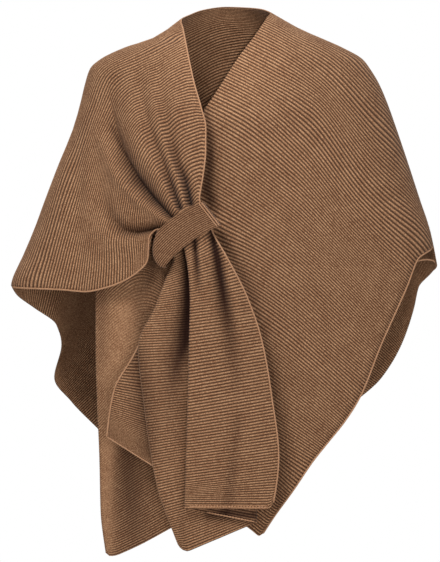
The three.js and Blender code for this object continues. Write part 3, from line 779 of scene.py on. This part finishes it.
def knit_finish(name, light, middle, dark, trough_shade, trough_shade_share=0.95, stitch_relief=0.35):
    """Melange yarn in rounded ribs: flecks, painted shade in the troughs and in valleys, and
    loops raised as bump.
    """
    finish = Finish(name)
    knit = finish.node("ShaderNodeUVMap", {"uv_map": "knit"})
    stitches = finish.node("ShaderNodeSeparateXYZ", {}, [knit], output="X")
    ribs = finish.node("ShaderNodeSeparateXYZ", {}, [knit], output="Y")
    ribs_and_shade = finish.node("ShaderNodeUVMap", {"uv_map": "ribs_and_shade"})
    ribbed = finish.node("ShaderNodeSeparateXYZ", {}, [ribs_and_shade], output="X")
    # Painted shade of folds and of places under other cloth
    painted_shade = finish.node("ShaderNodeSeparateXYZ", {}, [ribs_and_shade], output="Y")
    ridge = abs((ribs * math.pi).math("COSINE"))
    lean = abs(ribs.math("FRACT") - 0.5)
    loops = (stitches + lean * 1.2) * (2 * math.pi)
    loop = loops.math("SINE") * 0.5 + 0.5
    fleck = finish.noise(620, 3.0)
    patch = finish.noise(38, 2.0)
    fleck_share = ((fleck - 0.5) * 3.4 + 0.5 + (patch - 0.5) * 0.6)
    fleck_share.socket.node.use_clamp = True
    yarn = finish.colour(dark, light, fleck_share)
    yarn = finish.colour(yarn, middle, 0.4)
    # Painted shade in the rib troughs, less where the ribs hardly show
    trough_shade_amount = (1 - ridge) ** 0.36 * trough_shade_share * ribbed
    knitted = finish.colour(yarn, trough_shade, trough_shade_amount)
    # Painted shade then darkens it further towards the trough colour
    finish.shade({
        "Base Color": finish.colour(knitted, trough_shade, painted_shade * 0.97),
        "Roughness": 0.88,
        "Sheen Weight": 0.07,
        "Sheen Roughness": 0.45,
        "Specular IOR Level": 0.15,
    })
    fuzz = finish.noise(1900, 2.0)
    height = loop * ridge * stitch_relief + fuzz * 0.5 + ridge * 0.4
    bump = {"Height": height, "Distance": 0.5 * MM, "Strength": 0.6}
    finish.shade({"Normal": finish.node("ShaderNodeBump", {}, bump)})
    return finish.material


RIB_KNIT = knit_finish("rib_knit", YARN_LIGHT, YARN_MIDDLE, YARN_DARK, TROUGH_SHADE)
BAND_KNIT = knit_finish("band_knit", BAND_LIGHT, BAND_MIDDLE, BAND_DARK, TROUGH_SHADE, 0.95)
EDGE_KNIT = knit_finish("edge_knit", EDGE_LIGHT, EDGE_DARK, YARN_MIDDLE, YARN_DARK, 0.25)


def even(count, low=0.0, high=1.0):
    return np.linspace(low, high, count + 1)


# The selvage of its outer corner, turned out to the back: column, line and lift in mm
LEFT_CURL = [(417.5, 261, 0), (422, 260, 0), (427, 259.6, 0), (432, 260.3, 0), (435, 262, 0)]
LEFT_CORNER_WIDTH = 0.05
CORNER_HEIGHT = 0.011
CORNER_ROWS = 2


def rounded_corner(us, width, rows, last):
    """How much shorter a panel is close to a corner of its hem, in shares of its length."""
    inside = np.clip(1 - us / width, 0, 1)
    fade = ease((rows - last + CORNER_ROWS) / CORNER_ROWS)
    return CORNER_HEIGHT * fade[:, None] * (1 - np.sqrt(1 - inside ** 2))[None]


def shown_places(angle, down):
    """Column and line at which each point of a panel shows from the front."""
    return column_at(angle, down), down


COUNTED_AT = 2000


def make_left_front():
    table = np.array(LEFT_FRONT_CLOSENESS)
    rows = np.linspace(0, len(LEFT_FRONT), COUNTED_AT)
    along = LEFT.share_of(rows) * LEFT.length / RIB_PITCH
    counts = []
    for part in (1, 2):
        rate = np.interp(rows, table[:, 0], table[:, part])
        steps = np.diff(along) * (rate[1:] + rate[:-1]) / 2
        counts.append(np.concatenate([[0], np.cumsum(steps)]))
    inner_count = round(counts[0][-1])
    rib_at = np.linspace(0, counts[0][-1], int(inner_count * ROWS_PER_RIB) + 1)
    rows_at = np.interp(rib_at, counts[0], rows)
    us = np.concatenate([
        even(8, 0, 0.09)[:-1], even(17, 0.09, RIBS_CHANGE_AT - 0.001),
        even(27, RIBS_CHANGE_AT + 0.001, 1),
    ])
    vs = strayed(LEFT, LEFT_FRONT_STRAY, LEFT_FRONT_SHARES, us, rows_at)
    vs = vs - rounded_corner(us, LEFT_CORNER_WIDTH, rows_at, len(LEFT_FRONT))
    vs = vs - rounded_corner(1 - us, LEFT_CORNER_WIDTH, rows_at, len(LEFT_FRONT))
    angle, down, lift = LEFT.grid(us, vs)
    across, lines = shown_places(angle, down)
    valley = valley_depth(across, lines, LEFT_FRONT_VALLEYS)
    middle = on_figure(angle, down, lift - valley)
    inner = np.interp(rows_at, rows, counts[0])[:, None]
    outer = np.interp(rows_at, rows, counts[1])[:, None]
    phase = np.where(us[None] < RIBS_CHANGE_AT, inner, outer)
    plain = valley_depth(across, lines, LEFT_FRONT_PLAIN)
    # Painted shade where it lies under other cloth, and a little over its plain strip
    shade = valley_depth(across, lines, LEFT_FRONT_SHADES) * 0.82
    made = knitted_wall("left_front_knit", middle, phase, RIB_KNIT, seam=-SEAM_GAP / 2,
                        ribbed=1 - plain, painted_shade=np.clip(shade + 0.3 * plain, 0, 1))
    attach(made, "root")
    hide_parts("left_front")
    return made, middle


def make_right_front():
    ribs = ribs_over(RIGHT.length * RIGHT_CLOSENESS)
    rows_at = np.interp(rib_rows(ribs), RIGHT.share_of(ROW_STEPS), ROW_STEPS)
    us = even(120)
    vs = strayed(RIGHT, RIGHT_FRONT_STRAY, RIGHT_FRONT_SHARES, us, rows_at)
    angle, down, lift = RIGHT.grid(us, vs)
    across, lines = shown_places(angle, down)
    valley = valley_depth(across, lines, RIGHT_FRONT_VALLEYS)
    puff = GATHER_PUFF * ease((vs - 0.3) / 0.6) * np.sin(math.pi * us)
    end = ease((1 - vs) / 0.1) * ease(vs / 0.1) * ease(us / 0.05) * ease((1 - us) / 0.05)
    crest = valley_depth(across, lines, RIGHT_FRONT_CRESTS)
    sag = SAG * (1 - np.exp(-valley / SAG_DEPTH) - 0.4) * end
    middle = on_figure(angle, down + sag, lift + puff + (crest - valley) * ease(vs / 0.1))
    phase = np.broadcast_to(rib_rows(ribs)[:, None] * ribs, down.shape)
    # Painted shade: darker the deeper its valleys, and along its shade lines
    shade = valley_depth(across, lines, RIGHT_FRONT_SHADES)
    made = knitted_wall("right_front_knit", middle, phase, RIB_KNIT, seam=-SEAM_GAP / 2,
                        painted_shade=np.maximum(np.clip((valley - 5) / 24, 0, 0.7), shade))
    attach(made, "root")
    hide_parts("right_front")
    return made, middle


def make_back():
    ribs = ribs_over(REAR.length * BACK_CLOSENESS)
    rows_at = np.interp(rib_rows(ribs), REAR.share_of(ROW_STEPS), ROW_STEPS)
    us = np.concatenate([
        even(20, 0, BACK_NECK[0]), even(36, *BACK_NECK)[1:-1], even(20, BACK_NECK[1], 1),
    ])
    vs = strayed(REAR, BACK_STRAY, BACK_SHARES, us, rows_at)
    angle, down, lift = REAR.grid(us, vs)
    middle = on_figure(angle, down, lift)
    phase = np.broadcast_to(rib_rows(ribs)[:, None] * ribs, down.shape)
    made = knitted_wall("back_knit", middle, phase, RIB_KNIT, seam=SEAM_GAP / 2)
    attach(made, "root")
    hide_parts("back")
    return made


def tail_places(vs):
    """Column, line, lift and share of the front layer of each point, at shares for each
    row and column, on the layers one after another through round turns."""
    knots = np.linspace(0, 1, len(TAIL))
    table = np.array(TAIL, float)
    made = []
    column = 0
    for number, columns in enumerate(TAIL_COLUMNS):
        last = number == len(TAIL_COLUMNS) - 1
        turns = [] if last else list(np.linspace(0, math.pi, FOLD_TURNS + 1)[1:-1])
        here = vs[:, column:column + columns + 1 + len(turns)]
        column += here.shape[1]
        start = [smooth(knots, table[:, number, k], here) for k in (0, 1)]
        stop = [smooth(knots, table[:, number + 1, k], here) for k in (0, 1)]
        step = FOLD_RADIUS * MM / STEP / np.hypot(stop[0] - start[0], stop[1] - start[1])
        begin = 0 * step if number == 0 else step
        end = 1 + 0 * step if last else 1 - step
        flat = mix(begin[:, :columns + 1], end[:, :columns + 1], even(columns))
        turned = 1 - step[:, columns + 1:] * (1 - np.sin(turns))
        t = np.concatenate([flat, turned], axis=1)
        lift = np.zeros(t.shape) + TAIL_FRONT_LIFT - 2 * FOLD_RADIUS * number
        lift[:, columns + 1:] -= FOLD_RADIUS * (1 - np.cos(turns))
        across, down = (mix(start[k], stop[k], t) for k in (0, 1))
        front = np.zeros(t.shape)
        if number == 0:
            front[:] = 1
            lift += tail_fold_lift(t, here)
        made.append((across, down, lift, front))
    return [np.concatenate(parts, axis=1) for parts in zip(*made)]


def tail_fold_lift(t, vs):
    lift = 0 * vs
    for in_loop, at_hem, fade, over, rise, half in TAIL_FOLDS:
        away = (t - mix(in_loop, at_hem, vs)) / half
        strength = ease((vs - 0.15) / 0.125) * (1 - ease((vs - fade) / over))
        lift = lift + rise * strength * np.exp(-away * away)
    return lift


def tail_middle(rows):
    """Middle points of the tail's wall, how much painted shade its valleys and shade lines give
    it there, and for each column whether it is in the front layer, one behind it or the flap: 0,
    1 or 2."""
    columns = sum(TAIL_COLUMNS) + len(TAIL_COLUMNS) + (FOLD_TURNS - 1) * (len(TAIL_COLUMNS) - 1)
    vs = np.repeat(rows[:, None], columns, axis=1)
    across = tail_places(vs)[0]
    steady = ease(rows / 0.2) * ease((1 - rows) / 0.12)
    turned_at = TAIL_COLUMNS[0] + TAIL_COLUMNS[1] + 2 * FOLD_TURNS
    past = np.arange(columns) > turned_at
    begins = np.where(past, across[:, turned_at:turned_at + 1], across)
    rise = (across[:, :1] - begins) * TAIL_RIB_RISE + (begins - across) * TAIL_REAR_RIB_RISE
    number = np.arange(columns)
    from_corner = np.where(number <= TAIL_COLUMNS[0] / 2, across[:, :1] - across, TAIL_CORNER)
    near_fold = past & (number <= TAIL_LEFT_TURN + TAIL_COLUMNS[3])
    left_fold = across[:, TAIL_LEFT_TURN:TAIL_LEFT_TURN + 1]
    from_corner = np.where(near_fold, across - left_fold, from_corner)
    inside = np.clip(1 - from_corner / TAIL_CORNER, 0, 1)
    near_hem = ease((rows[:, None] - 0.94) / 0.06)
    corner = TAIL_CORNER_HEIGHT * (1 - np.sqrt(1 - inside ** 2)) * near_hem
    vs = vs + rise * steady[:, None] - corner
    across, down, lift, front = tail_places(vs)
    valley = valley_depth(across, down, TAIL_VALLEYS)
    beside = valley_depth(across, down, TAIL_SIDE_VALLEY) * (1 - front)
    crest = valley_depth(across, down, TAIL_CRESTS) * front
    tilt = np.maximum(
        ease((TAIL_TILT_FROM - across) / TAIL_TILT_OVER) * ease((vs - 0.3) / 0.25),
        ease((TAIL_TILT_FROM - across) / TAIL_STEP_OVER) * ease((vs - 0.5) / 0.2),
    )
    lift = lift - valley - beside + crest + TAIL_TILT * tilt * (1 - front)
    # Painted shade: in the layers behind along the shade lines, and darker the deeper its valleys
    shade = valley_depth(across, down, TAIL_SHADES) * (1 - front)
    painted_shade = np.clip((valley - 2) / 10, 0, 1) * 0.97 + shade
    layer = np.where(past, 1, 0) + np.where(number > columns - TAIL_COLUMNS[4] - 2, 1, 0)
    return grid_points(across, down, lift), painted_shade, layer[None]


def make_tail():
    knots = np.linspace(0, 1, len(TAIL_RIBS))
    rear_ribs = np.linspace(0, TAIL_REAR_RIBS[-1], int(TAIL_REAR_RIBS[-1] * TAIL_ROWS_PER_RIB))
    rows = smooth(TAIL_REAR_RIBS, knots, rear_ribs)
    middle, painted_shade, layer = tail_middle(rows)
    front_ribs = smooth(knots, TAIL_RIBS, rows)
    flap_ribs = smooth(knots, TAIL_FLAP_RIBS, rows)
    phase = np.where(layer == 1, rear_ribs[:, None], front_ribs[:, None])
    phase = np.where(layer == 2, flap_ribs[:, None], phase)
    # Its painted shade goes into the colour
    made = knitted_wall("tail_knit", middle, phase, RIB_KNIT, facing=-1,
                        painted_shade=np.clip(painted_shade, 0, 1))
    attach(made, "root")
    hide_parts("right_front_tail")
    return made, middle


# The loop band round the gathers, in grid steps but for its lifts
LOOP_MIDDLE = (186, 231.5)
LOOP_RISE = 0.64
LOOP_BOW = 3.8
LOOP_END = 31.5
LOOP_TURN_SHARES = (0, 0.15, 0.3, 0.5, 0.7, 0.85, 1)
LOOP_TURNS = (21, 29.5, 35, 39, 40, 39.5, 36.5)
LOOP_HALF_WIDTH = 14.3
LOOP_LIFTS = (-2, 35.5)
LOOP_SQUARENESS = 0.38
LOOP_RIBS = 15
LOOP_RIB_HEIGHT = 0.5 * MM
LOOP_SEAMS = (28.2, 30.6)


def loop_grid(length, width):
    """Grid column and line of a place on the loop, along and across it."""
    bent = width + LOOP_BOW * ((length / LOOP_END) ** 2 - 0.5)
    c, s = math.cos(LOOP_RISE), math.sin(LOOP_RISE)
    across = LOOP_MIDDLE[0] + length * c + bent * s
    return across, LOOP_MIDDLE[1] - length * s + bent * c


def make_loop():
    rows = LOOP_RIBS * 6 + 1
    around = 168
    share = np.linspace(0, 1, rows)[:, None]
    turn = (np.arange(around) / around * 2 * math.pi)[None]
    width = mix(-LOOP_HALF_WIDTH, LOOP_HALF_WIDTH, share)
    turn_at = -smooth(LOOP_TURN_SHARES, LOOP_TURNS, share)
    centre = (LOOP_END + turn_at) / 2
    half_length = (LOOP_END - turn_at) / 2

    def squared(x):
        return np.sign(x) * np.abs(x) ** LOOP_SQUARENESS

    length = centre + half_length * squared(np.cos(turn))
    half = (LOOP_LIFTS[1] - LOOP_LIFTS[0]) / 2
    lift = LOOP_LIFTS[0] + half + half * squared(np.sin(turn))
    middle = grid_points(*loop_grid(length, width), lift + 0 * length)
    normal = normals_of(np.concatenate([middle[:, -1:], middle, middle[:, :1]], axis=1))[:, 1:-1]
    centre_point = middle.mean(axis=(0, 1))
    if np.sum(normal * (middle - centre_point)) < 0:
        normal = -normal
    phase = np.broadcast_to(share * LOOP_RIBS, middle.shape[:2])
    out = WALL / 2 + LOOP_RIB_HEIGHT * np.abs(np.cos(math.pi * phase))
    front = middle + normal * out[..., None]
    rear = middle - normal * WALL / 2
    steps = np.linalg.norm(np.diff(middle, axis=1), axis=2)
    along = np.concatenate([np.zeros((rows, 1)), np.cumsum(steps, axis=1)], axis=1) / STITCH
    knit = np.stack([along, phase], axis=-1).reshape(-1, 2)
    count = rows * around
    outer = grid_faces(rows, around, closed=True)
    inner = grid_faces(rows, around, count, closed=True)[:, ::-1]
    j = np.arange(around)
    after = (j + 1) % around
    top = np.stack([j, after, after + count, j + count], axis=1)
    low = top[:, ::-1] + (rows - 1) * around
    faces = np.concatenate([outer, inner, top, low])
    points = np.concatenate([front.reshape(-1, 3), rear.reshape(-1, 3)])
    made = mesh_object("loop_band", points, faces, np.concatenate([knit, knit]), BAND_KNIT)
    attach(made, "root")
    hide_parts("front_loop")
    return made


PAST_EDGE = 0.8 * MM


def past_edge(middle, column, past):
    """The edge line of a grid, moved a little out past the edge."""
    inside = 1 if column == 0 else -2
    outward = middle[:, column] - middle[:, inside]
    outward /= np.maximum(np.linalg.norm(outward, axis=1, keepdims=True), 1e-9)
    return middle[:, column] + outward * past


def make_edge(name, path, radius=1.4 * MM, forward=1.2 * MM, pitch=STITCH, bumps=0.25):
    made = rope(name, np.asarray(path) + (0, -forward, 0), radius, EDGE_KNIT, pitch, bumps)
    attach(made, "root")
    return made


def loop_seam_path(length):
    """A line across the loop's front near its sewn end."""
    width = np.linspace(-LOOP_HALF_WIDTH, LOOP_HALF_WIDTH, 24)
    return grid_points(*loop_grid(length + 0 * width, width), LOOP_LIFTS[1] + 0 * width)


left_front, left_middle = make_left_front()
right_front, right_middle = make_right_front()
back = make_back()
tail, tail_points = make_tail()
loop = make_loop()

v_edge = make_edge("right_neck_edge", past_edge(right_middle, 0, PAST_EDGE))
right_hem = make_edge("right_front_hem_edge", past_edge(right_middle, -1, PAST_EDGE)[8:])
left_edge_from = int(np.argmax(np.abs(left_middle[:, -1, 1]) > 4 * MM))
left_hem = make_edge("left_front_hem_edge",
                     past_edge(left_middle, -1, PAST_EDGE)[left_edge_from:])
corner_curl = make_edge("left_corner_edge", grid_points(*np.array(LEFT_CURL).T), 1.3 * MM, 0.0)
tail_right = make_edge("tail_right_edge", past_edge(tail_points, 0, PAST_EDGE))
tail_hem = make_edge("tail_hem_edge", tail_points[-5, 2:TAIL_COLUMNS[0]], 1.7 * MM,
                     2.0 * MM, 4.7 * MM, 0.75)
under_hem = make_edge("tail_under_hem_edge",
                      tail_points[-2, TAIL_COLUMNS[0] + 6:TAIL_COLUMNS[0] + TAIL_COLUMNS[1] + 5],
                      1.4 * MM, 1.6 * MM, 4.7 * MM, 0.5)
flap_edge = make_edge("tail_flap_edge", past_edge(tail_points, -1, PAST_EDGE))
flap_hem = make_edge("tail_flap_hem_edge", tail_points[-1, -TAIL_COLUMNS[4]:], 1.3 * MM, 1.2 * MM,
                     4.7 * MM, 0.4)
layer_edge = make_edge("tail_left_edge", tail_points[len(tail_points) // 3:, TAIL_LEFT_TURN],
                       1.3 * MM, 0.4 * MM)
loop_seams = [
    make_edge("loop_seam_" + str(number), loop_seam_path(length), 1.1 * MM, 1.0 * MM)
    for number, length in enumerate(LOOP_SEAMS)
]


def area_light(name, place, target, size, power):
    data = bpy.data.lights.new(name, "AREA")
    data.shape = "SQUARE"
    data.size = size
    data.energy = power
    made = bpy.data.objects.new(name, data)
    made.location = place
    aim = Vector(target) - Vector(place)
    made.rotation_euler = aim.to_track_quat("-Z", "Y").to_euler()
    bpy.context.collection.objects.link(made)


def make_studio():
    world = bpy.data.worlds.new("studio")
    bpy.context.scene.world = world
    world.use_nodes = True
    nodes, links = world.node_tree.nodes, world.node_tree.links
    sky = nodes["Background"]
    sky.inputs["Color"].default_value = (1, 1, 1, 1)
    ray = nodes.new("ShaderNodeLightPath")
    strength = nodes.new("ShaderNodeMapRange")
    strength.inputs["To Min"].default_value = 0.3
    strength.inputs["To Max"].default_value = 1.0
    links.new(ray.outputs["Is Camera Ray"], strength.inputs["Value"])
    links.new(strength.outputs["Result"], sky.inputs["Strength"])
    middle = (0, 0, -0.4)
    area_light("key", (-1.1, -2.1, 2.4), middle, 1.1, 71)
    area_light("fill", (1.0, -3.2, -0.9), middle, 1.6, 44)
    area_light("top", (0.1, 0.2, 2.4), middle, 1.2, 26)
    spot = bpy.data.lights.new("neck", "SPOT")
    spot.energy = 210
    spot.spot_size = 0.07
    spot.spot_blend = 1.0
    spot.shadow_soft_size = 0.05
    neck = bpy.data.objects.new("neck", spot)
    neck.location = (0.0, -4.0, -0.3)
    aim = Vector((0.008, 0.08, -0.04)) - neck.location
    neck.rotation_euler = aim.to_track_quat("-Z", "Y").to_euler()
    bpy.context.collection.objects.link(neck)
    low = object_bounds()[0]
    data = bpy.data.meshes.new("floor")
    size = 2.0
    z = low[2] - 0.012
    behind = 0.0
    data.from_pydata(
        [(-size, -size, z), (size, -size, z), (size, behind, z), (-size, behind, z)], [],
        [(0, 1, 2, 3)],
    )
    floor = bpy.data.objects.new("floor", data)
    finish = Finish("pale_floor")
    finish.shade({"Base Color": (0.9, 0.9, 0.9, 1), "Roughness": 0.9})
    data.materials.append(finish.material)
    bpy.context.collection.objects.link(floor)
    bpy.context.scene.view_settings.view_transform = "Standard"


make_studio()
